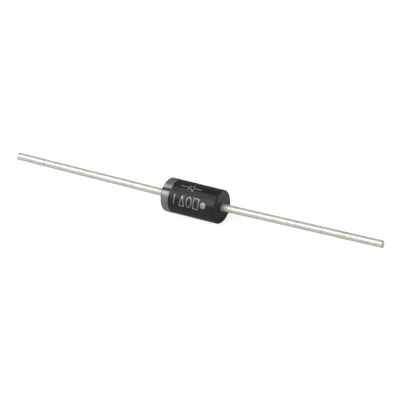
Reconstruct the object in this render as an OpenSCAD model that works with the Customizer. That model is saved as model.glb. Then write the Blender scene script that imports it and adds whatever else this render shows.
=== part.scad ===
// Axial rectifier diode: a moulded epoxy case on two tinned copper leads with nail heads.
// The silicon die is soldered between the two heads, at the middle of the case.
// The leads lie along X: the cathode, at the banded end, at -X and the anode at +X.
// The origin is the middle of the case, on the lead axis. All sizes are in millimetres.

/* [Case] */
// Diameter of the moulded barrel
case_d = 5.2; // [4.8:0.1:5.6]
// Length of the case along its parting plane
case_l = 9.4; // [8.6:0.1:10.4]
// Draft of the end faces, in degrees away from the parting plane
end_draft = 3.8; // [1:0.2:7]
// Draft of the flats on each side of the parting plane, in degrees
side_draft = 7; // [4:0.5:10]
// How far the flats cut into the barrel at the parting plane
flat_inset = 0.03; // [0.01:0.01:0.06]
// Bevel round each end of the case
rim_bevel = 0.16; // [0.08:0.01:0.25]
// How far the two moulded halves are out of line with each other
mould_shift = 0.04; // [0.01:0.01:0.1]
// How far the flash stands out at the parting plane
flash_out = 0.03; // [0.01:0.01:0.08]
// Thickness of the flash
flash_t = 0.03; // [0.02:0.01:0.06]
// Roll of the parting plane about the leads as the part lies, with its front edge up
parting_roll = 42; // [0:1:90]

/* [Cathode band] */
// Distance from the end of the case to the band's inner edge
band_w = 1.3; // [0.8:0.1:2]
// Strip left bare between the rim's bevel and the band
band_edge = 0.03; // [0.02:0.01:0.2]
// Strip left bare at the parting plane, where the printing pad doesn't reach
band_gap = 0.26; // [0.1:0.02:0.4]
// Thickness of the ink
ink_t = 0.02; // [0.01:0.005:0.04]

/* [Leads] */
// Diameter of the lead wire
lead_d = 1.14; // [0.96:0.02:1.32]
// Length of each lead outside the case
lead_l = 27; // [20:0.5:35]
// Bevel at the cut end of each lead
tip_bevel = 0.06; // [0.02:0.01:0.15]
// Bend of the cathode lead where it leaves the case, in degrees upwards
cathode_bend = 0.2; // [0.1:0.02:5]
// Bend of the anode lead where it leaves the case, in degrees upwards
anode_bend = 0.96; // [0.1:0.02:5]
// Radius of those bends, to the middle of the wire
bend_r = 8; // [4:0.5:10]
// Straight stretch between the case and the bend
bend_start = 0.2; // [0.1:0.1:1]

/* [Nail heads] */
// Diameter of the nail head
head_d = 2.5; // [2.2:0.05:2.8]
// Thickness of the nail head at its rim
head_t = 0.4; // [0.3:0.05:0.6]
// Length of the cone between the head and the wire
head_cone = 0.35; // [0.2:0.05:0.6]
// How much the heading swells the wire next to the cone, on its radius, easing off by the bend
head_swell = 0.02; // [0.01:0.01:0.05]

/* [Die] */
// Width of the square die at its cathode face
die_w = 1.8; // [1.5:0.1:2.1]
// Thickness of the die
die_t = 0.28; // [0.2:0.02:0.4]
// Etched slope of the die's sides, in degrees from square
die_slope = 30; // [10:5:40]
// Diameter of the solder discs
solder_d = 1.4; // [1:0.05:1.4]
// Thickness of each solder disc
solder_t = 0.08; // [0.04:0.01:0.15]
// How far the junction coating stands out past the corners of the die
coating_cover = 0.16; // [0.08:0.02:0.3]

/* [Fits] */
// Clearance between the moulding and what it wraps
bond_gap = 0.01; // [0.005:0.005:0.02]

/* [Hidden] */
$fn = 96;

case_r = case_d / 2;
lead_r = lead_d / 2;
head_r = head_d / 2;
flat_half_w = case_r - flat_inset;           // half width of the case at the parting plane
straight_l = case_l / 2 + bend_start;        // from the middle of the die to the bend of a lead
stack_half = die_t / 2 + solder_t;           // from the middle of the die to a nail head's face
coating_r = die_w / sqrt(2) + coating_cover; // outer radius of the junction coating
bead_r = 1.3 * stack_half;                   // radius of the coating's bulging side
tool_l = case_l + case_d;                    // length of the shapes that trim the case

// Turns what follows from the parting plane's own axes, Z square to the plane, to how the part lies.
module as_it_lies() {
    rotate([-parting_roll, 0, 0]) children();
}

// Turns a revolved shape from its Z axis to the lead axis.
module along_x() {
    rotate([0, 90, 0]) children();
}

// One moulded half, above the parting plane. Grow is for a layer that lies on its surface,
// and inset shortens it at both ends.
module moulded_half(grow = 0, inset = 0) {
    r = case_r + grow;
    foot = flat_half_w + grow;
    lean = r * tan(side_draft);
    end_x = case_l / 2 - inset;
    intersection() {
        along_x() cylinder(r = r, h = tool_l, center = true);
        // The drafted flats, widest at the parting plane.
        rotate([90, 0, 90]) linear_extrude(tool_l, center = true)
            polygon([[-foot, 0], [foot, 0], [foot - lean, r], [foot - lean, 2 * r],
                     [lean - foot, 2 * r], [lean - foot, r]]);
        // The drafted ends, each the face of a 45 degree cone that bevels the rim.
        intersection_for (side = [0, 1]) mirror([side, 0, 0])
            translate([end_x, 0, 0]) rotate([0, 90 - end_draft, 0])
                translate([0, 0, -tool_l])
                    cylinder(r1 = r - rim_bevel + tool_l, r2 = r - rim_bevel, h = tool_l);
    }
}

// The upper half, shifted one way, and the lower half, shifted the other.
module both_halves(grow = 0, inset = 0) {
    for (turn = [0, 180]) rotate([turn, 0, 0])
        translate([0, mould_shift / 2, 0]) moulded_half(grow, inset);
}

// The thin skin of epoxy that is squeezed out between the mould halves.
module flash() {
    cube([case_l + 2 * flash_out, 2 * (flat_half_w + flash_out), flash_t], center = true);
}

// A lead's wire and nail head up to its bend, along +Z.
module headed_wire(grow = 0) {
    rim = head_t / 2 + grow;
    rotate_extrude() {
        polygon([[0, stack_half - grow], [head_r - head_t / 2, stack_half - grow],
                 [head_r - head_t / 2, stack_half + head_t + grow],
                 [lead_r + head_swell + grow, stack_half + head_t + head_cone + grow],
                 [lead_r + grow, straight_l], [0, straight_l]]);
        translate([head_r - head_t / 2, stack_half + head_t / 2]) circle(r = rim);
    }
}

// A straight stretch of wire of length l with its cut end bevelled, along +Z.
module cut_wire(l) {
    rotate_extrude()
        polygon([[0, 0], [lead_r, 0], [lead_r, l - tip_bevel], [lead_r - tip_bevel, l], [0, l]]);
}

// A whole lead along +X, bent upwards where it leaves the case.
module lead(bend) {
    arc_l = bend_r * bend * PI / 180;
    along_x() headed_wire();
    translate([straight_l, 0, 0]) {
        translate([0, 0, bend_r]) rotate([90, 0, 0])
            rotate_extrude(angle = bend, start = -90) translate([bend_r, 0]) circle(r = lead_r);
        translate([bend_r * sin(bend), 0, bend_r * (1 - cos(bend))]) rotate([0, -bend, 0])
            along_x() cut_wire(lead_l - bend_start - arc_l);
    }
}

// The junction coating's outer form, a ring that bulges between the two nail heads.
module coating_form(grow = 0) {
    bead_x = coating_r - bead_r;
    along_x() rotate_extrude() intersection() {
        translate([0, -stack_half]) square([2 * coating_r, 2 * stack_half]);
        union() {
            translate([0, -stack_half]) square([bead_x, 2 * stack_half]);
            translate([bead_x, 0]) circle(r = bead_r + grow);
        }
    }
}

// The die's outer form, a square plate whose sides are etched to a slope.
module die_form() {
    foot = die_w / 2;
    top = foot - die_t * tan(die_slope);
    side = [[-die_t / 2, -foot], [-die_t / 2, foot], [die_t / 2, top], [die_t / 2, -top]];
    intersection() {
        linear_extrude(die_w, center = true) polygon(side);
        rotate([90, 0, 0]) linear_extrude(die_w, center = true) polygon(side);
    }
}

// A solder disc on the cathode face, at -1, or the anode face, at 1.
module solder_disc(side) {
    translate([side * (die_t + solder_t) / 2, 0, 0])
        along_x() cylinder(d = solder_d, h = solder_t, center = true);
}

module case() {
    color("#2b2b2e") difference() {
        as_it_lies() union() {
            both_halves();
            flash();
        }
        for (side = [0, 1]) mirror([side, 0, 0]) along_x() headed_wire(bond_gap);
        coating_form(bond_gap);
    }
}

module cathode_band() {
    color("#b9b9b4") as_it_lies() difference() {
        intersection() {
            both_halves(ink_t, band_edge + ink_t);
            translate([-case_l / 2, -case_d, -case_d]) cube([band_w, 2 * case_d, 2 * case_d]);
        }
        both_halves();
        cube([2 * case_l, 2 * case_d, band_gap], center = true);
    }
}

module cathode_lead() {
    color("#c9c8c1") mirror([1, 0, 0]) lead(cathode_bend);
}

module anode_lead() {
    color("#c9c8c1") lead(anode_bend);
}

module cathode_solder() {
    color("#9aa0a6") solder_disc(-1);
}

module anode_solder() {
    color("#9aa0a6") solder_disc(1);
}

module silicon_die() {
    color("#4d5663") die_form();
}

module junction_coating() {
    color("#e9e4d8") difference() {
        coating_form();
        die_form();
        solder_disc(-1);
        solder_disc(1);
    }
}

case();
cathode_band();
cathode_lead();
anode_lead();
cathode_solder();
anode_solder();
silicon_die();
junction_coating();
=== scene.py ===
"""Looks of an axial rectifier diode: a moulded case, its printed band and marks, and two tinned leads.

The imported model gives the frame, in metres: X along the leads with the cathode at -X, and the middle of the
case at the origin. The case, the print and the leads are modelled here in detail, and replace their plain
solids. The parts sealed inside the case keep their solids and get finishes of their own.
"""

import logging
import math
from dataclasses import dataclass
from enum import Enum
from functools import cached_property

import bmesh
import bpy
import numpy as np
from mathutils import Matrix, Vector


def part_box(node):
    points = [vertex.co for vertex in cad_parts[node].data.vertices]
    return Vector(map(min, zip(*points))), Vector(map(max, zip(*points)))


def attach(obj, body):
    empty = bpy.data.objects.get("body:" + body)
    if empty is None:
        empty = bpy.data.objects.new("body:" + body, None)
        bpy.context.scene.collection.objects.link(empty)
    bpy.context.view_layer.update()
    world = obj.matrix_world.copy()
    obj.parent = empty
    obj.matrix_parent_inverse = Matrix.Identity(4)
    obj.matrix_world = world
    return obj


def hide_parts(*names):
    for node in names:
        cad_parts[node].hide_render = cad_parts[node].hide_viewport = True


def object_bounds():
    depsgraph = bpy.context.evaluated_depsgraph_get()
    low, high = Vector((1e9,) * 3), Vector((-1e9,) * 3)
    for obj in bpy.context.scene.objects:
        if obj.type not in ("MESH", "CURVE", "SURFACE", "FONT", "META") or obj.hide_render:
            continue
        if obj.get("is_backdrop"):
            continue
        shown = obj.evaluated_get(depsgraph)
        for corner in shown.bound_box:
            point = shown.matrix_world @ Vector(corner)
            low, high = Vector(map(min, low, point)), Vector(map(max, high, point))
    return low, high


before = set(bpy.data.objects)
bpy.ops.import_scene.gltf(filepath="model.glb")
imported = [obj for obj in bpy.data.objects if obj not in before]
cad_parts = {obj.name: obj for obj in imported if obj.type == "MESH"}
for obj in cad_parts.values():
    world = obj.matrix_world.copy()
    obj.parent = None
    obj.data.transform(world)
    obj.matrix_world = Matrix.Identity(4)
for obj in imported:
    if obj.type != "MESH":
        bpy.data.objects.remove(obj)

MM = 0.001
LOG = logging.getLogger("rectifier_diode")
Feed = bpy.types.NodeSocket | float | int | bool | str | tuple
Colour = tuple[float, float, float]


class Slot(Enum):
    """The record's material slots."""

    EPOXY = "moulded_epoxy"
    INK = "band_ink"
    TIN = "tinned_copper"
    SOLDER = "solder"
    SILICON = "silicon"
    SILICONE = "silicone_coating"


class End(Enum):
    """An end of the diode, with the sign of X on its side."""

    CATHODE = -1
    ANODE = 1

    @property
    def node(self) -> str:
        """The name of the lead's node at this end."""
        return f"{self.name.lower()}_lead"


@dataclass(frozen=True)
class DiodeSizes:
    """The sizes that several pieces share."""

    barrel_r: float = 2.6 * MM
    wire_r: float = 0.57 * MM
    stack_half: float = 0.22 * MM
    head_r: float = 1.25 * MM
    head_t: float = 0.4 * MM
    head_cone: float = 0.35 * MM
    head_swell: float = 0.02 * MM
    bend_start: float = 0.2 * MM
    bond_gap: float = 0.01 * MM
    flash_out: float = 0.03 * MM
    end_draft: float = math.radians(3.8)
    parting_roll: float = math.radians(42)

    @cached_property
    def case_half(self) -> float:
        """Half the length of the case at its parting plane, without the flash."""
        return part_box("case")[1].x - self.flash_out

    @property
    def straight_l(self) -> float:
        """From the middle of the die to where a lead starts to bend."""
        return self.case_half + self.bend_start


def ripple(places: np.ndarray, pitch: float, seed: int) -> np.ndarray:
    """Gives smooth random values along a line.

    Args:
        places: Where the values are wanted, in metres.
        pitch: Distance between one random value and the next.
        seed: Picks the row of random values.

    Returns:
        Values from 0 to 1, one for each place.
    """
    steps = (places - places.min()) / pitch
    knots = np.random.default_rng(seed).random(int(steps.max()) + 2)
    before = steps.astype(int)
    share = steps - before
    share = share * share * (3 - 2 * share)
    return knots[before] * (1 - share) + knots[before + 1] * share


def mesh_piece(name: str, points: np.ndarray, faces: list[tuple[int, ...]]) -> bpy.types.Object:
    """Makes an object from points and faces.

    Args:
        name: The object's and the mesh's name.
        points: Corners, one row of three for each.
        faces: The corners of each face, by their rows.

    Returns:
        The new object, at the origin and in the scene.
    """
    mesh = bpy.data.meshes.new(name)
    mesh.from_pydata(points.tolist(), [], faces)
    mesh.update()
    piece = bpy.data.objects.new(name, mesh)
    bpy.context.scene.collection.objects.link(piece)
    return piece


def close_up(piece: bpy.types.Object, crease: float) -> None:
    """Merges doubled corners, points the faces outwards and shades the piece smooth between its creases."""
    form = bmesh.new()
    form.from_mesh(piece.data)
    bmesh.ops.remove_doubles(form, verts=form.verts, dist=1e-5 * MM)
    bmesh.ops.recalc_face_normals(form, faces=form.faces)
    form.to_mesh(piece.data)
    form.free()
    piece.data.shade_smooth()
    piece.data.set_sharp_from_angle(angle=crease)


def hand_over(piece: bpy.types.Object, slot: Slot, *nodes: str) -> None:
    """Parents a finished piece to the root body, hides the nodes that it stands for, and logs its slot."""
    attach(piece, "root")
    if nodes:
        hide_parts(*nodes)
    LOG.info("%s: %d faces, slot %s", piece.name, len(piece.data.polygons), slot.value)


class NodeSheet:
    """A node tree that is being drawn, with short ways to add and join its nodes."""

    def __init__(self, tree: bpy.types.NodeTree) -> None:
        """Starts on an empty or a new tree."""
        self.tree = tree

    def feed(self, socket: bpy.types.NodeSocket, value: Feed) -> None:
        """Joins a socket to another one, or sets its value."""
        if isinstance(value, bpy.types.NodeSocket):
            self.tree.links.new(value, socket)
        else:
            socket.default_value = value

    def add(
        self, kind: str, feeds: dict[str | int, Feed] | None = None, **settings: Feed
    ) -> bpy.types.Node:
        """Adds a node.

        Args:
            kind: The node's type.
            feeds: What goes into its inputs, by name or number.
            **settings: The node's own properties.

        Returns:
            The new node.
        """
        node = self.tree.nodes.new(kind)
        for name, value in settings.items():
            setattr(node, name, value)
        for key, value in (feeds or {}).items():
            self.feed(node.inputs[key], value)
        return node

    def math(self, operation: str, *values: Feed) -> bpy.types.NodeSocket:
        """Works out a number from one to three others."""
        return self.add("ShaderNodeMath", dict(enumerate(values)), operation=operation).outputs[0]

    def vector(self, operation: str, *values: Feed) -> bpy.types.NodeSocket:
        """Works out a vector from others."""
        node = self.add("ShaderNodeVectorMath", dict(enumerate(values)), operation=operation)
        return node.outputs["Vector"]

    def scaled(self, vector: Feed, scale: Feed) -> bpy.types.NodeSocket:
        """Lengthens a vector."""
        feeds = {0: vector, "Scale": scale}
        return self.add("ShaderNodeVectorMath", feeds, operation="SCALE").outputs["Vector"]

    def ramp(
        self, value: Feed, start: float, stop: float, low: float = 0.0, high: float = 1.0
    ) -> bpy.types.NodeSocket:
        """Eases a value from low to high as it goes from start to stop."""
        feeds = {0: value, 1: start, 2: stop, 3: low, 4: high}
        return self.add("ShaderNodeMapRange", feeds, interpolation_type="SMOOTHSTEP").outputs[0]

    def noise(
        self, place: Feed, size: float, detail: float = 2.0, shift: float = 0.0
    ) -> bpy.types.NodeSocket:
        """Draws noise.

        Args:
            place: The coordinates that it follows.
            size: Size of its features, in metres.
            detail: How many finer layers lie on it.
            shift: Moves the pattern, in metres, so that two of them differ.

        Returns:
            Values from 0 to 1, mostly near the middle.
        """
        moved = self.vector("ADD", place, (shift, shift, shift))
        feeds = {"Vector": moved, "Scale": 1 / size, "Detail": detail}
        return self.add("ShaderNodeTexNoise", feeds).outputs[0]

    def bump(self, height: Feed, depth: float, under: Feed | None = None) -> bpy.types.NodeSocket:
        """Turns a height from 0 to 1 into a bump of some depth, on top of another one if it is given."""
        feeds = {"Height": height, "Distance": depth, "Strength": 1.0}
        if under is not None:
            feeds["Normal"] = under
        return self.add("ShaderNodeBump", feeds).outputs[0]

    def blend(self, share: Feed, first: Feed, second: Feed) -> bpy.types.NodeSocket:
        """Mixes two colours."""
        feeds = {0: share, 6: first, 7: second}
        return self.add("ShaderNodeMix", feeds, data_type="RGBA").outputs[2]


@dataclass(frozen=True)
class Finish:
    """A surface finish, which becomes a material of nodes on Object coordinates."""

    name: str
    slot: Slot

    def build(self) -> bpy.types.Material:
        """Makes the material."""
        material = bpy.data.materials.new(self.name)
        material.use_nodes = True
        material.node_tree.nodes.clear()
        sheet = NodeSheet(material.node_tree)
        place = sheet.add("ShaderNodeTexCoord").outputs["Object"]
        shader = sheet.add("ShaderNodeBsdfPrincipled")
        self.paint(sheet, shader, place)
        sheet.add("ShaderNodeOutputMaterial", {"Surface": shader.outputs[0]})
        return material

    def paint(self, sheet: NodeSheet, shader: bpy.types.Node, place: bpy.types.NodeSocket) -> None:
        """Feeds the shader: each finish has its own way."""
        raise NotImplementedError

    def dress(self, piece: bpy.types.Object) -> None:
        """Puts the finish on a piece in place of any other."""
        piece.data.materials.clear()
        piece.data.materials.append(self.build())


@dataclass(frozen=True)
class EpoxyFinish(Finish):
    """Black moulding compound: a satin skin with a fine grain, small pits and faint smudges."""

    parting_roll: float
    body: Colour = (0.0115, 0.0115, 0.0120)
    smudge: Colour = (0.021, 0.021, 0.020)
    grain_size: float = 0.035 * MM
    grain_depth: float = 0.0009 * MM
    pit_size: float = 0.16 * MM
    pit_depth: float = 0.006 * MM
    smudge_size: float = 1.1 * MM
    gloss: float = 0.42
    # Painted highlight: a pale colour along the parting flash, standing in for light caught by the step
    # between the halves.
    painted_flash_highlight: Colour = (0.075, 0.075, 0.07)
    painted_highlight_reach: float = 0.022 * MM

    def paint(self, sheet: NodeSheet, shader: bpy.types.Node, place: bpy.types.NodeSocket) -> None:
        """Feeds the shader with smudges, a painted highlight along the parting flash, a rough grain and pits.
        """
        cloud = sheet.noise(place, self.smudge_size, 3.0)
        smudges = sheet.ramp(cloud, 0.45, 0.72)
        smudged = sheet.blend(smudges, (*self.body, 1), (*self.smudge, 1))
        # Lays the painted highlight along the parting flash over the smudged colour.
        painted_highlight_mask = self.painted_highlight_mask(sheet, place)
        sheet.feed(shader.inputs["Base Color"], sheet.blend(painted_highlight_mask, smudged, (*self.painted_flash_highlight, 1)))
        sheet.feed(shader.inputs["Roughness"], sheet.ramp(cloud, 0.3, 0.7, 0.36, 0.5))
        shader.inputs["Specular IOR Level"].default_value = self.gloss
        grain = sheet.noise(place, self.grain_size, 3.0, 3 * MM)
        grained = sheet.bump(grain, self.grain_depth)
        pits = sheet.ramp(sheet.noise(place, self.pit_size, 1.0, 7 * MM), 0.22, 0.34)
        sheet.feed(shader.inputs["Normal"], sheet.bump(pits, self.pit_depth, grained))

    def painted_highlight_mask(self, sheet: NodeSheet, place: bpy.types.NodeSocket) -> bpy.types.NodeSocket:
        """Is 1 where a painted highlight lies along the flash at the parting plane, in broken stretches."""
        square = (0, math.sin(self.parting_roll), math.cos(self.parting_roll))
        along = sheet.add("ShaderNodeVectorMath", {0: place, 1: square}, operation="DOT_PRODUCT")
        lift = sheet.math("ABSOLUTE", along.outputs["Value"])
        near = sheet.ramp(lift, 0.6 * self.painted_highlight_reach, self.painted_highlight_reach, 1.0, 0.0)
        broken = sheet.ramp(sheet.noise(place, 0.5 * MM, 2.0, 9 * MM), 0.4, 0.6)
        return sheet.math("MULTIPLY", near, broken)


@dataclass(frozen=True)
class InkFinish(Finish):
    """Pale grey pad ink: thin and mottled, with specks where the case shows through."""

    ink: Colour = (0.33, 0.33, 0.31)
    thin: Colour = (0.28, 0.28, 0.265)
    metal: float = 0.75
    bare: Colour = (0.03, 0.03, 0.03)
    mottle_size: float = 0.35 * MM
    speck_size: float = 0.07 * MM
    grain_depth: float = 0.001 * MM
    wear: float = -0.03

    def paint(self, sheet: NodeSheet, shader: bpy.types.Node, place: bpy.types.NodeSocket) -> None:
        """Feeds the shader with mottled ink and the specks of the black case in it."""
        mottle = sheet.ramp(sheet.noise(place, self.mottle_size, 3.0), 0.35, 0.7)
        inked = sheet.blend(mottle, (*self.ink, 1), (*self.thin, 1))
        speck = sheet.noise(place, self.speck_size, 2.0, 5 * MM)
        specked = sheet.ramp(speck, 0.62 - self.wear, 0.74 - self.wear)
        sheet.feed(shader.inputs["Base Color"], sheet.blend(specked, inked, (*self.bare, 1)))
        sheet.feed(shader.inputs["Roughness"], sheet.ramp(mottle, 0.0, 1.0, 0.38, 0.5))
        shader.inputs["Metallic"].default_value = self.metal
        sheet.feed(shader.inputs["Normal"], sheet.bump(speck, self.grain_depth))


@dataclass(frozen=True)
class TinFinish(Finish):
    """Matte tin plating on drawn wire: mottled, with shallow dimples, drawing lines and dull specks."""

    tin: Colour = (0.87, 0.85, 0.78)
    dull: Colour = (0.62, 0.61, 0.54)
    mottle_size: float = 0.6 * MM
    dimple_size: float = 0.3 * MM
    dimple_depth: float = 0.0065 * MM
    line_stretch: float = 14.0
    line_size: float = 0.09 * MM
    line_depth: float = 0.0018 * MM
    metal: float = 0.38

    def paint(self, sheet: NodeSheet, shader: bpy.types.Node, place: bpy.types.NodeSocket) -> None:
        """Feeds the shader with mottled tin, and bumps of dimples and drawing lines."""
        mottle = sheet.noise(place, self.mottle_size, 4.0)
        speck = sheet.ramp(sheet.noise(place, 0.12 * MM, 2.0, 4 * MM), 0.6, 0.72)
        tinned = sheet.blend(sheet.ramp(mottle, 0.48, 0.75), (*self.tin, 1), (*self.dull, 1))
        sheet.feed(shader.inputs["Base Color"], sheet.blend(speck, tinned, (*self.dull, 1)))
        sheet.feed(shader.inputs["Roughness"], sheet.ramp(mottle, 0.3, 0.7, 0.27, 0.42))
        shader.inputs["Metallic"].default_value = self.metal
        drawn = sheet.vector("MULTIPLY", place, (1 / self.line_stretch, 1.0, 1.0))
        lines = sheet.noise(drawn, self.line_size, 2.0, 2 * MM)
        lined = sheet.bump(lines, self.line_depth)
        dimples = sheet.noise(place, self.dimple_size, 2.0, 6 * MM)
        sheet.feed(shader.inputs["Normal"], sheet.bump(dimples, self.dimple_depth, lined))


@dataclass(frozen=True)
class SealedFinish(Finish):
    """A finish of a part sealed in the case: two close shades in a fine pattern, with a matching bump."""

    light: Colour
    dark: Colour
    metal: float
    roughness: float
    pattern_size: float
    depth: float

    def paint(self, sheet: NodeSheet, shader: bpy.types.Node, place: bpy.types.NodeSocket) -> None:
        """Feeds the shader with the two shades and the bump."""
        pattern = sheet.noise(place, self.pattern_size, 4.0)
        shade = sheet.blend(sheet.ramp(pattern, 0.35, 0.65), (*self.light, 1), (*self.dark, 1))
        sheet.feed(shader.inputs["Base Color"], shade)
        shader.inputs["Metallic"].default_value = self.metal
        shader.inputs["Roughness"].default_value = self.roughness
        sheet.feed(shader.inputs["Normal"], sheet.bump(pattern, self.depth))


@dataclass
class MouldedCase:
    """The epoxy case: two drafted halves a little out of line, with ragged flash squeezed out between them.

    It is swept round the girth in the parting plane's own axes, Z square to the plane and -Y at the front,
    and then rolled to how the diode lies.
    """

    sizes: DiodeSizes
    finish: EpoxyFinish
    side_draft: float = math.radians(7)
    flat_inset: float = 0.03 * MM
    mould_shift: float = 0.04 * MM
    flash_t: float = 0.03 * MM
    rim_r: float = 0.15 * MM
    edge_sharpness: float = 240.0
    dent: float = 0.006 * MM
    meniscus: float = 0.015 * MM
    coating_r: float = 1.45 * MM

    def reach(self, ray_y: np.ndarray, ray_z: np.ndarray, half: int) -> np.ndarray:
        """Finds how far out a half's surface lies.

        Args:
            ray_y: Y of the unit rays out from the lead axis.
            ray_z: Z of the same rays.
            half: 1 for the upper half, -1 for the lower one.

        Returns:
            The distance from the axis to the barrel or a flat, whichever is nearer, eased where they meet.
        """
        r = self.sizes.barrel_r
        foot = r - self.flat_inset
        shift = half * self.mould_shift / 2
        lean = math.tan(self.side_draft) * np.abs(ray_z)
        barrel = ray_y * shift + np.sqrt(r * r - shift * shift + (ray_y * shift) ** 2)
        front = (foot - shift) / np.maximum(lean - ray_y, 0.1)
        back = (foot + shift) / np.maximum(lean + ray_y, 0.1)
        near = np.minimum(np.minimum(barrel, front), back)
        power = self.edge_sharpness
        return near * sum((near / wall) ** power for wall in (barrel, front, back)) ** (-1 / power)

    def girth(self) -> np.ndarray:
        """Lists the lines round the girth that the profile is swept along.

        Returns:
            A row for each line: its ray's Y and Z, its height off the parting plane, its reach, and 1
            where it is the tip of the flash.
        """
        fine = np.arange(0.9, 24, 0.65)
        rays = np.radians(np.concatenate([fine, np.arange(24, 156, 1.7), 180 - fine[::-1]]))
        lip = self.flash_t / 2
        foot = self.sizes.barrel_r - self.flat_inset
        rows = []
        for half in (1, -1):
            turned = rays if half == 1 else rays + math.pi
            ray_y, ray_z = -np.cos(turned), np.sin(turned)
            shift = half * self.mould_shift / 2
            tip = foot + self.sizes.flash_out
            seam = [(-half, 0, half * lip, tip, 1), (-half, 0, half * lip, foot - half * shift, 0)]
            arc = np.stack([ray_y, ray_z, 0 * rays, self.reach(ray_y, ray_z, half), 0 * rays], axis=1)
            ends = [(half, 0, half * lip, foot + half * shift, 0), (half, 0, half * lip, tip, 1)]
            rows += [np.array(seam, float), arc, np.array(ends, float)]
        return np.concatenate(rows)

    def outside(self, line: np.ndarray, number: int) -> tuple[np.ndarray, np.ndarray]:
        """Draws the outer profile along one line of the girth, from the bore at -X to the bore at +X.

        Args:
            line: A row of girth().
            number: Which row it is, for the small random dents.

        Returns:
            X and the distance from the axis along the ray, for each point.
        """
        _, ray_z, lift, reach, flash = line
        bore = self.sizes.wire_r + self.sizes.bond_gap
        proud = flash * self.sizes.flash_out

        def end_x(out: np.ndarray) -> np.ndarray:
            """X of the drafted end face, at distances out from the axis."""
            swell = self.meniscus * np.exp(-(out - bore) / (0.07 * MM))
            ridge = proud * np.clip((out - bore) / (0.5 * MM), 0, 1)
            drafted = self.sizes.case_half - math.tan(self.sizes.end_draft) * np.abs(ray_z * out + lift)
            return drafted + ridge + swell

        face = bore + (reach - self.rim_r - bore) * np.linspace(0, 1, 14) ** 1.6
        turn = np.radians(np.linspace(0, 90, 9))[1:]
        rim = reach - self.rim_r * (1 - np.sin(turn))
        rim_x = end_x(rim) - self.rim_r * (1 - np.cos(turn))
        side = np.linspace(-1, 1, 112)[1:-1] * rim_x[-1]
        barrel = np.full(side.shape, reach)
        if flash:
            barrel += self.sizes.flash_out * (ripple(side, 0.22 * MM, 11 + number % 3) - 0.55)
        end, end_out = np.concatenate([end_x(face), rim_x]), np.concatenate([face, rim])
        x = np.concatenate([-end, side, end[::-1]])
        return x, np.concatenate([end_out, barrel, end_out[::-1]])

    def cavity(self) -> tuple[np.ndarray, np.ndarray]:
        """Draws the hollow round the leads, their heads and the junction, from +X to -X.

        Returns:
            X and the distance from the axis, for each point.
        """
        size = self.sizes
        gap = size.bond_gap
        turn = np.radians(np.linspace(0, 150, 7))
        rim_r = size.head_t / 2 + gap
        rim_x = size.stack_half + size.head_t / 2 + rim_r * np.cos(turn)
        rim_out = size.head_r - size.head_t / 2 + rim_r * np.sin(turn)
        wire_x = np.array([size.case_half * 0.6, size.stack_half + size.head_t + size.head_cone + gap])
        wire_out = size.wire_r + gap + np.array([size.head_swell / 2, size.head_swell])
        bulge = np.array([0.1 * MM])
        half_x = np.concatenate([wire_x, rim_x, bulge])
        half_out = np.concatenate([wire_out, rim_out, 0 * bulge + self.coating_r - 0.02 * MM])
        x = np.concatenate([half_x, [0], -half_x[::-1]])
        return x, np.concatenate([half_out, [self.coating_r], half_out[::-1]])

    def build(self) -> bpy.types.Object:
        """Sweeps the closed shell, rolls it to how the diode lies and dresses it."""
        girth = self.girth()
        inner_x, inner_out = self.cavity()
        rings = []
        for number, line in enumerate(girth):
            ray_y, ray_z, lift, _, _ = line
            x, out = self.outside(line, number)
            x, out = np.concatenate([x, inner_x]), np.concatenate([out, inner_out])
            rings.append(np.stack([x, ray_y * out, ray_z * out + lift], axis=1))
        points = np.array(rings)
        points *= 1 + self.dents(points)[..., None] * np.array([0, 1, 1])
        lines, row = points.shape[:2]
        corner = np.arange(lines * row).reshape(lines, row)
        ahead, beside = np.roll(corner, -1, axis=0), np.roll(corner, -1, axis=1)
        both = np.roll(ahead, -1, axis=1)
        faces = np.stack([corner, ahead, both, beside], axis=-1).reshape(-1, 4)
        piece = mesh_piece("epoxy_case", points.reshape(-1, 3), faces.tolist())
        piece.data.transform(Matrix.Rotation(-self.sizes.parting_roll, 4, "X"))
        close_up(piece, math.radians(38))
        self.finish.dress(piece)
        return piece

    def dents(self, points: np.ndarray) -> np.ndarray:
        """Gives the share by which each point of the outer skin moves, so that no face is quite true."""
        x, y, z = np.moveaxis(points, -1, 0)
        out = np.hypot(y, z)
        turn = np.arctan2(z, y)
        wave = np.sin(1.9 * x / MM + 2 * turn + 0.6) + np.sin(0.8 * x / MM - 3 * turn + 2.1)
        skin = np.clip((out - self.coating_r) / (0.8 * MM), 0, 1)
        return 0.5 * wave * skin * self.dent / self.sizes.barrel_r


def new_tree(
    name: str, inputs: dict[str, tuple[str, Feed]]
) -> tuple[NodeSheet, bpy.types.Node]:
    """Starts a geometry tree.

    Args:
        name: The tree's name.
        inputs: For each named input, its socket type and value.

    Returns:
        The sheet to draw on, and the node that holds the inputs.
    """
    tree = bpy.data.node_groups.new(name, "GeometryNodeTree")
    tree.interface.new_socket("Geometry", in_out="INPUT", socket_type="NodeSocketGeometry")
    tree.interface.new_socket("Geometry", in_out="OUTPUT", socket_type="NodeSocketGeometry")
    for label, (kind, value) in inputs.items():
        socket = tree.interface.new_socket(label, in_out="INPUT", socket_type=f"NodeSocket{kind}")
        if value is not None:
            socket.default_value = value
    sheet = NodeSheet(tree)
    return sheet, sheet.add("NodeGroupInput")


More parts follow.
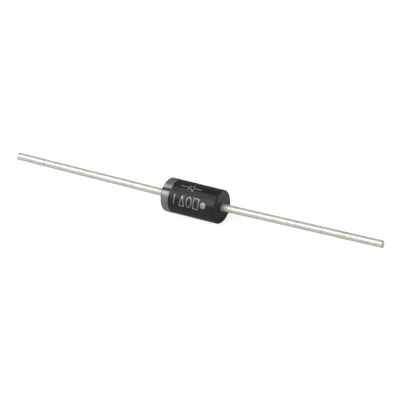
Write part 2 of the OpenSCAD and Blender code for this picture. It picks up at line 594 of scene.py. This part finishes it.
class InkTransfer:
    """The Geometry Nodes that lay flat artwork on the case.

    The artwork's X is the place along the leads, and its Y is how far round the girth it lies, up from the
    front parting line.
    """

    def __init__(self, sizes: DiodeSizes, case: bpy.types.Object) -> None:
        """Keeps the case to print on, and draws the tree that both kinds of print share."""
        self.sizes = sizes
        self.case = case
        self.wrap = self.wrap_tree()

    def wrap_tree(self) -> bpy.types.NodeTree:
        """Draws the tree that bends flat geometry round the girth and drops it on the case."""
        inputs = {
            "Case": ("Object", None),
            "Girth Radius": ("Float", self.sizes.barrel_r),
            "Front Line": ("Float", self.sizes.parting_roll),
        }
        sheet, given = new_tree("Drop on case", inputs)
        place = sheet.add("GeometryNodeInputPosition").outputs[0]
        flat = sheet.add("ShaderNodeSeparateXYZ", {0: place}).outputs
        swing = sheet.math("DIVIDE", flat["Y"], given.outputs["Girth Radius"])
        turn = sheet.math("ADD", swing, given.outputs["Front Line"])
        out_y = sheet.math("MULTIPLY", sheet.math("COSINE", turn), -1.0)
        out = sheet.add("ShaderNodeCombineXYZ", {"Y": out_y, "Z": sheet.math("SINE", turn)}).outputs[0]
        along = sheet.add("ShaderNodeCombineXYZ", {"X": flat["X"]}).outputs[0]
        far = sheet.math("MULTIPLY", given.outputs["Girth Radius"], 2.0)
        case = sheet.add("GeometryNodeObjectInfo", {"Object": given.outputs["Case"]}).outputs["Geometry"]
        feeds = {
            "Target Geometry": case,
            "Source Position": sheet.vector("ADD", along, sheet.scaled(out, far)),
            "Ray Direction": sheet.vector("MULTIPLY", out, (-1, -1, -1)),
            "Ray Length": far,
        }
        hit = sheet.add("GeometryNodeRaycast", feeds).outputs
        raised = sheet.scaled(hit["Hit Normal"], flat["Z"])
        landed = sheet.vector("ADD", hit["Hit Position"], raised)
        feeds = {"Geometry": given.outputs["Geometry"], "Position": landed}
        laid = sheet.add("GeometryNodeSetPosition", feeds)
        sheet.add("NodeGroupOutput", {0: laid.outputs[0]})
        return sheet.tree

    def fray(
        self, sheet: NodeSheet, geometry: Feed, amount: Feed, size: float, only: Feed
    ) -> bpy.types.NodeSocket:
        """Shifts chosen points in the flat by noise, so that an edge is ragged."""
        place = sheet.add("GeometryNodeInputPosition").outputs[0]
        first, second = sheet.noise(place, size, 1.0), sheet.noise(place, size, 1.0, 50 * MM)
        centred = [sheet.math("SUBTRACT", part, 0.5) for part in (first, second)]
        shifts = [sheet.math("MULTIPLY", part, amount) for part in centred]
        offset = sheet.add("ShaderNodeCombineXYZ", {"X": shifts[0], "Y": shifts[1]}).outputs[0]
        feeds = {"Geometry": geometry, "Selection": only, "Offset": offset}
        return sheet.add("GeometryNodeSetPosition", feeds).outputs[0]

    def finish_tree(
        self, sheet: NodeSheet, given: bpy.types.Node, geometry: bpy.types.NodeSocket
    ) -> bpy.types.NodeTree:
        """Ends a print's tree: wraps it, shades it, realizes it and sets its material."""
        wrap = sheet.add("GeometryNodeGroup", node_tree=self.wrap)
        sheet.feed(wrap.inputs["Geometry"], geometry)
        sheet.feed(wrap.inputs["Case"], given.outputs["Case"])
        feeds = {"Geometry": wrap.outputs[0], "Shade Smooth": True}
        smooth = sheet.add("GeometryNodeSetShadeSmooth", feeds)
        real = sheet.add("GeometryNodeRealizeInstances", {"Geometry": smooth.outputs[0]})
        feeds = {"Geometry": real.outputs[0], "Material": given.outputs["Ink"]}
        sheet.add("NodeGroupOutput", {0: sheet.add("GeometryNodeSetMaterial", feeds).outputs[0]})
        return sheet.tree

    def solid_tree(self) -> bpy.types.NodeTree:
        """Draws the tree for filled artwork, which becomes a closed skin of ink."""
        inputs = {
            "Case": ("Object", None),
            "Ink": ("Material", None),
            "Thickness": ("Float", 0.02 * MM),
            "Fray": ("Float", 0.04 * MM),
        }
        sheet, given = new_tree("Filled print", inputs)
        edge = sheet.math("COMPARE", sheet.add("GeometryNodeInputMeshEdgeNeighbors").outputs[0], 1.0, 0.1)
        frayed = self.fray(sheet, given.outputs["Geometry"], given.outputs["Fray"], 0.12 * MM, edge)
        feeds = {
            "Mesh": frayed,
            "Offset": (0, 0, 1),
            "Offset Scale": given.outputs["Thickness"],
            "Individual": False,
        }
        raised = sheet.add("GeometryNodeExtrudeMesh", feeds, mode="FACES")
        under = sheet.add("GeometryNodeFlipFaces", {0: frayed})
        joined = sheet.add("GeometryNodeJoinGeometry")
        sheet.feed(joined.inputs[0], raised.outputs[0])
        sheet.feed(joined.inputs[0], under.outputs[0])
        feeds = {"Geometry": joined.outputs[0], "Distance": 1e-4 * MM}
        welded = sheet.add("GeometryNodeMergeByDistance", feeds)
        return self.finish_tree(sheet, given, welded.outputs[0])

    def stroke_tree(self) -> bpy.types.NodeTree:
        """Draws the tree for strokes, which become low rounded beads of ink."""
        inputs = {
            "Case": ("Object", None),
            "Ink": ("Material", None),
            "Stroke Width": ("Float", 0.14 * MM),
            "Stroke Height": ("Float", 0.012 * MM),
            "Fray": ("Float", 0.03 * MM),
        }
        sheet, given = new_tree("Stroke print", inputs)
        feeds = {"Curve": given.outputs["Geometry"], "Length": 0.04 * MM}
        even = sheet.add("GeometryNodeResampleCurve", feeds, mode="LENGTH")
        level = sheet.add("GeometryNodeSetCurveNormal", {0: even.outputs[0]}, mode="Z_UP")
        along = sheet.add("GeometryNodeSplineParameter").outputs["Length"]
        total = sheet.add("GeometryNodeSplineLength").outputs["Length"]
        nearest = sheet.math("MINIMUM", along, sheet.math("SUBTRACT", total, along))
        half = sheet.math("MULTIPLY", given.outputs["Stroke Width"], 0.5)
        inset = sheet.math("SUBTRACT", 1.0, sheet.math("MINIMUM", sheet.math("DIVIDE", nearest, half), 1.0))
        tip = sheet.math("SQRT", sheet.math("SUBTRACT", 1.02, sheet.math("MULTIPLY", inset, inset)))
        closed = sheet.add("GeometryNodeInputSplineCyclic").outputs[0]
        scale = sheet.math("MAXIMUM", tip, closed)
        ring = sheet.add("GeometryNodeCurvePrimitiveCircle", {"Resolution": 10, "Radius": 1.0})
        feeds = {"X": half, "Y": given.outputs["Stroke Height"], "Z": 1.0}
        flat = sheet.add("ShaderNodeCombineXYZ", feeds).outputs[0]
        bead = sheet.add("GeometryNodeTransform", {"Geometry": ring.outputs[0], "Scale": flat})
        feeds = {
            "Curve": level.outputs[0],
            "Profile Curve": bead.outputs[0],
            "Scale": scale,
            "Fill Caps": True,
        }
        swept = sheet.add("GeometryNodeCurveToMesh", feeds)
        frayed = self.fray(sheet, swept.outputs[0], given.outputs["Fray"], 0.09 * MM, True)
        return self.finish_tree(sheet, given, frayed)


def run_tree(
    source: bpy.types.Object, tree: bpy.types.NodeTree, name: str, **inputs: Feed
) -> bpy.types.Object:
    """Runs a geometry tree on an object and keeps the result as a plain mesh.

    Args:
        source: The artwork or path, which is used up.
        tree: The tree.
        name: Name of the finished piece.
        **inputs: The tree's inputs by name, with _ for a space.

    Returns:
        The finished piece, at the origin.
    """
    modifier = source.modifiers.new(tree.name, "NODES")
    modifier.node_group = tree
    for item in tree.interface.items_tree:
        label = item.name.replace(" ", "_")
        if item.item_type == "SOCKET" and item.in_out == "INPUT" and label in inputs:
            modifier[item.identifier] = inputs[label]
    graph = bpy.context.evaluated_depsgraph_get()
    mesh = bpy.data.meshes.new_from_object(source.evaluated_get(graph), depsgraph=graph)
    source.modifiers.clear()
    bpy.data.objects.remove(source)
    mesh.name = name
    piece = bpy.data.objects.new(name, mesh)
    bpy.context.scene.collection.objects.link(piece)
    return piece


@dataclass
class CathodeBand:
    """The printed ring at the cathode end: an arc on each half of the case, bare at the parting plane."""

    sizes: DiodeSizes
    transfer: InkTransfer
    finish: InkFinish
    inner_x: float = -3.2 * MM
    slant: float = 0.09 * MM
    rim_cover: float = 0.07 * MM
    bare_above: float = math.radians(5.5)
    bare_below: float = math.radians(4.8)
    thickness: float = 0.014 * MM
    ragged: float = 0.05 * MM

    def artwork(self) -> bpy.types.Object:
        """Draws both arcs flat, as grids from the rim to the inner edge."""
        points, faces = [], []
        r = self.sizes.barrel_r
        upper = (self.bare_above, math.pi - self.bare_above)
        lower = (self.bare_below - math.pi, -self.bare_below)
        for start, stop in (upper, lower):
            turns = np.linspace(start, stop, 170)
            pulled_in = math.tan(self.sizes.end_draft) * r * np.abs(np.sin(turns))
            rim = -(self.sizes.case_half - pulled_in - self.rim_cover)
            across = np.linspace(0, 1, 20)[:, None]
            inner = self.inner_x + self.slant * np.sin(2 * turns)
            x = rim * (1 - across) + inner * across
            first = sum(len(block) for block in points)
            points.append(np.stack([x, 0 * x + r * turns, 0 * x], axis=-1).reshape(-1, 3))
            rows, columns = x.shape
            corner = first + np.arange(rows * columns).reshape(rows, columns)
            quads = np.stack([corner[:-1, :-1], corner[1:, :-1], corner[1:, 1:], corner[:-1, 1:]], axis=-1)
            faces += quads.reshape(-1, 4).tolist()
        return mesh_piece("band_artwork", np.concatenate(points), faces)

    def build(self) -> bpy.types.Object:
        """Prints the band on the case."""
        inputs = {
            "Case": self.transfer.case,
            "Ink": self.finish.build(),
            "Thickness": self.thickness,
            "Fray": self.ragged,
        }
        return run_tree(self.artwork(), self.transfer.solid_tree(), "printed_band", **inputs)


@dataclass
class CaseMarks:
    """The printed marks: plain shapes and a dot on the lower half, and a diode symbol on the upper."""

    sizes: DiodeSizes
    transfer: InkTransfer
    finish: InkFinish
    row_x: float = -2.55 * MM
    pitch: float = 1.2 * MM
    width: float = 0.85 * MM
    row_low: float = -1.95 * MM
    row_high: float = -0.35 * MM
    dot_x: float = 2.7 * MM
    dot_r: float = 0.5 * MM
    symbol_x: float = -0.1 * MM
    symbol_y: float = 1.25 * MM

    def shapes(self) -> list[tuple[list[tuple[float, float]], bool]]:
        """Lists the strokes of the lower row: a bar, a triangle, a ring and a square.

        Returns:
            For each stroke, its points and whether it closes on itself.
        """
        low, high, wide = self.row_low, self.row_high, self.width
        left = [self.row_x + number * self.pitch for number in range(4)]
        middle = left[2] + wide / 2, (low + high) / 2
        turns = [math.tau * step / 28 for step in range(28)]
        across, up = wide / 2, (high - low) / 2
        ring = [(middle[0] + across * math.cos(t), middle[1] + up * math.sin(t)) for t in turns]
        return [
            ([(left[0] + wide / 3, low), (left[0] + wide / 3, high)], False),
            ([(left[1], low), (left[1] + wide, low), (left[1] + wide / 2, high)], True),
            (ring, True),
            ([(left[3], low), (left[3] + wide, low), (left[3] + wide, high), (left[3], high)], True),
        ]

    def symbol(self) -> list[tuple[list[tuple[float, float]], bool]]:
        """Lists the strokes of the diode symbol, its bar towards the cathode."""
        x, y = self.symbol_x, self.symbol_y
        reach, half, tall = 1.7 * MM, 0.42 * MM, 0.55 * MM
        return [
            ([(x - reach, y), (x - half, y)], False),
            ([(x - half, y - tall), (x - half, y + tall)], False),
            ([(x - half + 0.06 * MM, y), (x + half, y - tall), (x + half, y + tall)], True),
            ([(x + half, y), (x + reach, y)], False),
        ]

    def strokes(self) -> bpy.types.Object:
        """Draws every stroke flat, as one curve object."""
        curve = bpy.data.curves.new("mark_strokes", "CURVE")
        curve.dimensions = "3D"
        for points, closed in self.shapes() + self.symbol():
            spline = curve.splines.new("POLY")
            spline.points.add(len(points) - 1)
            for place, (x, y) in zip(spline.points, points):
                place.co = (x, y, 0, 1)
            spline.use_cyclic_u = closed
        source = bpy.data.objects.new("mark_strokes", curve)
        bpy.context.scene.collection.objects.link(source)
        return source

    def dot(self) -> bpy.types.Object:
        """Draws the filled dot flat, in rings."""
        turns = np.linspace(0, math.tau, 37)[:-1]
        middle = (self.row_low + self.row_high) / 2
        rings = [self.dot_r * share for share in (0.2, 0.4, 0.6, 0.8, 1.0)]
        points = []
        for r in rings:
            x, y = self.dot_x + r * np.cos(turns), middle + r * np.sin(turns)
            points.append(np.stack([x, y, 0 * turns], axis=1))
        corner = np.arange(len(rings) * len(turns)).reshape(len(rings), len(turns))
        beside = np.roll(corner, -1, axis=1)
        quads = np.stack([corner[:-1], corner[1:], beside[1:], beside[:-1]], axis=-1).reshape(-1, 4)
        return mesh_piece("dot_artwork", np.concatenate(points), quads.tolist() + [tuple(corner[0])])

    def build(self) -> bpy.types.Object:
        """Prints the strokes and the dot on the case, as one piece."""
        ink = self.finish.build()
        inputs = {"Case": self.transfer.case, "Ink": ink, "Fray": 0.03 * MM}
        marks = run_tree(self.strokes(), self.transfer.stroke_tree(), "case_marks", **inputs)
        dot = run_tree(self.dot(), self.transfer.solid_tree(), "dot", Thickness=0.012 * MM, **inputs)
        form = bmesh.new()
        form.from_mesh(marks.data)
        form.from_mesh(dot.data)
        form.to_mesh(marks.data)
        form.free()
        bpy.data.objects.remove(dot)
        return marks


@dataclass
class TinnedLead:
    """A drawn and tinned copper wire with a cold-formed nail head, bent a little near the case."""

    sizes: DiodeSizes
    finish: TinFinish
    end: End
    bend: float
    shear: float
    seed: int
    bend_r: float = 8 * MM
    tip_round: float = 0.07 * MM
    waver: float = 0.012 * MM

    def stations(self) -> tuple[np.ndarray, np.ndarray]:
        """Lists the places along the wire that its radius is given at.

        Returns:
            The distance along the wire from the middle of the die, and the radius, for each place.
        """
        size = self.sizes
        turn = np.radians(np.linspace(0, 180, 13))
        half_t = size.head_t / 2
        head = size.stack_half + half_t * (1 - np.cos(turn))
        head_r = size.head_r - half_t * (1 - np.sin(turn))
        neck = size.stack_half + size.head_t + size.head_cone
        length = self.length()
        tip_turn = np.radians(np.linspace(0, 90, 6))
        tip = length - self.tip_round * (1 - np.sin(tip_turn))
        tip_r = size.wire_r - self.tip_round * (1 - np.cos(tip_turn)) * 0.8
        shank = np.arange(size.straight_l, length - 0.2 * MM, 0.25 * MM)
        places = np.concatenate([head, [neck, (neck + size.straight_l) / 2], shank, tip])
        swell = size.wire_r + size.head_swell * np.array([1, 0.5])
        radii = np.concatenate([head_r, swell, np.full(len(shank), size.wire_r), tip_r])
        return places, radii

    def length(self) -> float:
        """How long the wire is from the middle of the die, so that its tip ends where the solid's does."""
        low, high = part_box(self.end.node)
        slanted = math.sin(self.bend) + abs(self.shear)
        tip_x = max(abs(low.x), abs(high.x)) - self.sizes.wire_r * slanted
        arc = self.bend_r * self.bend
        after = (tip_x - self.sizes.straight_l - self.bend_r * math.sin(self.bend)) / math.cos(self.bend)
        return self.sizes.straight_l + arc + after

    def route(self, places: np.ndarray) -> np.ndarray:
        """Gives the points of the wire's middle, bent upwards and a little unsteady."""
        past = np.maximum(places - self.sizes.straight_l, 0)
        arc = self.bend_r * self.bend
        angle = np.minimum(past / self.bend_r, self.bend)
        after = np.maximum(past - arc, 0)
        before = np.minimum(places, self.sizes.straight_l)
        x = before + self.bend_r * np.sin(angle) + after * math.cos(self.bend)
        z = self.bend_r * (1 - np.cos(angle)) + after * math.sin(self.bend)
        free = np.clip(past / (4 * MM), 0, 1) * self.waver
        wavers = [free * (ripple(places, 5.5 * MM, self.seed + offset) - 0.5) for offset in (0, 1)]
        return np.stack([self.end.value * x, wavers[0], z + wavers[1]], axis=1)

    def tree(self) -> bpy.types.NodeTree:
        """Draws the tree that sweeps the wire along its route and shears its cut end."""
        inputs = {
            "Tin": ("Material", None),
            "Sides": ("Int", 56),
            "Tip X": ("Float", 0.03),
            "Shear": ("Float", 0.1),
            "Shear Length": ("Float", 0.35 * MM),
            "Roughness Depth": ("Float", 0.004 * MM),
            "Seed Shift": ("Float", 0.0),
        }
        sheet, given = new_tree("Drawn wire", inputs)
        feeds = {"Resolution": given.outputs["Sides"], "Radius": 1.0}
        ring = sheet.add("GeometryNodeCurvePrimitiveCircle", feeds)
        radius = sheet.add("GeometryNodeInputRadius").outputs[0]
        feeds = {
            "Curve": given.outputs["Geometry"],
            "Profile Curve": ring.outputs[0],
            "Scale": radius,
            "Fill Caps": True,
        }
        swept = sheet.add("GeometryNodeCurveToMesh", feeds)
        place = sheet.add("GeometryNodeInputPosition").outputs[0]
        part = sheet.add("ShaderNodeSeparateXYZ", {0: place}).outputs
        side = sheet.math("SIGN", part["X"])
        to_tip = sheet.math("SUBTRACT", given.outputs["Tip X"], sheet.math("ABSOLUTE", part["X"]))
        near = sheet.math("SUBTRACT", 1.0, sheet.math("DIVIDE", to_tip, given.outputs["Shear Length"]))
        eased = sheet.ramp(near, 0.0, 1.0)
        lean = sheet.math("MULTIPLY", part["Y"], given.outputs["Shear"])
        offset_x = sheet.math("MULTIPLY", sheet.math("MULTIPLY", lean, eased), side)
        sheared = sheet.add("ShaderNodeCombineXYZ", {"X": offset_x}).outputs[0]
        shift = sheet.add("ShaderNodeCombineXYZ", {"X": given.outputs["Seed Shift"]}).outputs[0]
        dimple = sheet.noise(sheet.vector("ADD", place, shift), 0.7 * MM, 2.0)
        centred = sheet.math("SUBTRACT", dimple, 0.5)
        depth = sheet.math("MULTIPLY", centred, given.outputs["Roughness Depth"])
        normal = sheet.add("GeometryNodeInputNormal").outputs[0]
        moves = sheet.vector("ADD", sheared, sheet.scaled(normal, depth))
        feeds = {"Geometry": swept.outputs[0], "Offset": moves}
        moved = sheet.add("GeometryNodeSetPosition", feeds)
        real = sheet.add("GeometryNodeRealizeInstances", {"Geometry": moved.outputs[0]})
        feeds = {"Geometry": real.outputs[0], "Material": given.outputs["Tin"]}
        sheet.add("NodeGroupOutput", {0: sheet.add("GeometryNodeSetMaterial", feeds).outputs[0]})
        return sheet.tree

    def build(self) -> bpy.types.Object:
        """Sweeps the wire along its route."""
        places, radii = self.stations()
        points = self.route(places)
        curve = bpy.data.curves.new("wire_route", "CURVE")
        curve.dimensions = "3D"
        spline = curve.splines.new("POLY")
        spline.points.add(len(points) - 1)
        for place, point, radius in zip(spline.points, points, radii):
            place.co = (*point, 1)
            place.radius = radius
        source = bpy.data.objects.new("wire_route", curve)
        bpy.context.scene.collection.objects.link(source)
        inputs = {
            "Tin": self.finish.build(),
            "Tip_X": float(abs(points[-1][0])),
            "Shear": self.shear,
            "Seed_Shift": self.seed * MM,
        }
        piece = run_tree(source, self.tree(), f"{self.end.name.lower()}_wire", **inputs)
        close_up(piece, math.radians(40))
        return piece


@dataclass
class SealedJunction:
    """The die, its solder and its coating, between the two nail heads."""

    def dress(self) -> None:
        """Gives each sealed solid its own finish."""
        solder = SealedFinish(
            "die_solder", Slot.SOLDER, light=(0.56, 0.57, 0.6), dark=(0.36, 0.37, 0.4),
            metal=1.0, roughness=0.38, pattern_size=0.12 * MM, depth=0.004 * MM,
        )
        silicon = SealedFinish(
            "etched_silicon", Slot.SILICON, light=(0.22, 0.24, 0.29), dark=(0.12, 0.13, 0.16),
            metal=0.6, roughness=0.25, pattern_size=0.05 * MM, depth=0.002 * MM,
        )
        rubber = SealedFinish(
            "cured_silicone", Slot.SILICONE, light=(0.84, 0.81, 0.74), dark=(0.72, 0.68, 0.6),
            metal=0.0, roughness=0.55, pattern_size=0.3 * MM, depth=0.005 * MM,
        )
        finishes = {
            "cathode_solder": solder,
            "anode_solder": solder,
            "silicon_die": silicon,
            "junction_coating": rubber,
        }
        for node, finish in finishes.items():
            finish.dress(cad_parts[node])
            LOG.info("%s: solid kept, finish %s", node, finish.name)


@dataclass
class Studio:
    """The pale floor, the soft lights, the world and the camera."""

    azimuth: float = math.radians(30.4)
    elevation: float = math.radians(25)
    distance: float = 0.48
    lens: float = 288.5
    aside: float = 0.69 * MM
    above: float = 0.075 * MM
    floor_half: float = 0.75
    lamp_distance: float = 0.6
    world_level: float = 0.27
    floor_grey: float = 0.6
    floor_seen: float = 0.8
    floor_mirrored: float = 0.12
    floor_behind: float = 0.8

    def camera(self) -> None:
        """Places the camera so that the case's middle lies a little left of the view's."""
        turn, rise = self.azimuth, self.elevation
        back = Vector((math.sin(turn) * math.cos(rise), -math.cos(turn) * math.cos(rise), math.sin(rise)))
        right = Vector((math.cos(turn), math.sin(turn), 0))
        data = bpy.data.cameras.new("camera")
        data.lens = self.lens
        data.clip_start = 0.01
        camera = bpy.data.objects.new("camera", data)
        up = back.cross(right)
        camera.location = back * self.distance + right * self.aside + up * self.above
        camera.rotation_euler = back.to_track_quat("Z", "Y").to_euler()
        bpy.context.scene.collection.objects.link(camera)
        bpy.context.scene.camera = camera

    def softbox(
        self, name: str, toward: tuple[float, float, float], width: float, height: float, level: float
    ) -> None:
        """Hangs a soft lamp.

        Args:
            name: The lamp's name.
            toward: The direction from the diode to the lamp.
            width: The lamp's size across.
            height: The lamp's other size.
            level: How bright the lamp looks, where 1 is white.
        """
        data = bpy.data.lights.new(name, "AREA")
        data.shape = "RECTANGLE"
        data.size, data.size_y = width, height
        data.energy = level * math.pi * width * height
        lamp = bpy.data.objects.new(name, data)
        direction = Vector(toward).normalized()
        lamp.location = direction * self.lamp_distance
        lamp.rotation_euler = direction.to_track_quat("Z", "Y").to_euler()
        bpy.context.scene.collection.objects.link(lamp)

    def floor_glow(self, sheet: NodeSheet) -> bpy.types.NodeSocket:
        """Lifts the floor to white for the camera, less in reflections, and not for bounced light."""
        rays = sheet.add("ShaderNodeLightPath").outputs
        seen = sheet.math("MAXIMUM", rays["Is Camera Ray"], rays["Is Transmission Ray"])
        direct = sheet.math("MULTIPLY", seen, self.floor_seen)
        place = sheet.add("ShaderNodeTexCoord").outputs["Object"]
        depth = sheet.add("ShaderNodeSeparateXYZ", {0: place}).outputs["Y"]
        level = sheet.ramp(depth, 0.0, 0.02, self.floor_mirrored, self.floor_behind)
        mirrored = sheet.math("MULTIPLY", rays["Is Glossy Ray"], level)
        return sheet.math("MAXIMUM", direct, mirrored)

    def floor(self) -> None:
        """Lays the floor under the diode's lowest point."""
        half, low = self.floor_half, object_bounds()[0][2]
        corners = np.array([(-half, -half, low), (half, -half, low), (half, half, low), (-half, half, low)])
        floor = mesh_piece("floor", corners, [(0, 1, 2, 3)])
        material = bpy.data.materials.new("pale_floor")
        material.use_nodes = True
        material.node_tree.nodes.clear()
        sheet = NodeSheet(material.node_tree)
        grey = (self.floor_grey, self.floor_grey, self.floor_grey, 1)
        matte = sheet.add("ShaderNodeBsdfDiffuse", {"Color": grey})
        feeds = {"Color": (1, 1, 1, 1), "Strength": self.floor_glow(sheet)}
        glow = sheet.add("ShaderNodeEmission", feeds)
        both = sheet.add("ShaderNodeAddShader", {0: matte.outputs[0], 1: glow.outputs[0]})
        sheet.add("ShaderNodeOutputMaterial", {"Surface": both.outputs[0]})
        floor.data.materials.append(material)
        floor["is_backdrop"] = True

    def build(self) -> None:
        """Sets up the world, the lamps, the floor and the camera."""
        scene = bpy.context.scene
        scene.view_settings.view_transform = "Standard"
        world = bpy.data.worlds.new("soft_surround")
        world.use_nodes = True
        background = world.node_tree.nodes["Background"]
        background.inputs["Color"].default_value = (1, 1, 1, 1)
        background.inputs["Strength"].default_value = self.world_level
        scene.world = world
        self.softbox("key_softbox", (-0.459, -0.585, 0.67), 0.5, 0.35, 3.1)
        self.softbox("front_fill", (0.2, -0.9, 0.38), 1.3, 0.44, 0.62)
        self.floor()
        self.camera()


def main() -> None:
    """Builds each piece of the diode in order, and then the studio round it."""
    logging.basicConfig(level=logging.INFO, format="%(message)s")
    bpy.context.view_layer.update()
    sizes = DiodeSizes()
    epoxy = EpoxyFinish("moulded_epoxy", Slot.EPOXY, sizes.parting_roll)
    case = MouldedCase(sizes, epoxy).build()
    transfer = InkTransfer(sizes, case)
    band = CathodeBand(sizes, transfer, InkFinish("band_ink", Slot.INK)).build()
    # The marks' ink is the band's pale grey painted lighter: the lift is a painted highlight for the key
    # lamp's reflection on the marks.
    ink_with_painted_highlight, thin_ink_with_painted_highlight = (0.46, 0.46, 0.43), (0.34, 0.34, 0.32)
    mark_ink = InkFinish("mark_ink", Slot.INK, ink=ink_with_painted_highlight, thin=thin_ink_with_painted_highlight)
    marks = CaseMarks(sizes, transfer, mark_ink).build()
    tin = TinFinish("matte_tin", Slot.TIN)
    leads = [
        TinnedLead(sizes, tin, End.CATHODE, math.radians(0.2), 0.12, 3).build(),
        TinnedLead(sizes, tin, End.ANODE, math.radians(0.96), -0.1, 8).build(),
    ]
    hand_over(case, Slot.EPOXY, "case")
    hand_over(band, Slot.INK, "cathode_band")
    hand_over(marks, Slot.INK)
    for end, lead in zip(End, leads):
        hand_over(lead, Slot.TIN, end.node)
    SealedJunction().dress()
    Studio().build()


if __name__ == "__main__":
    main()
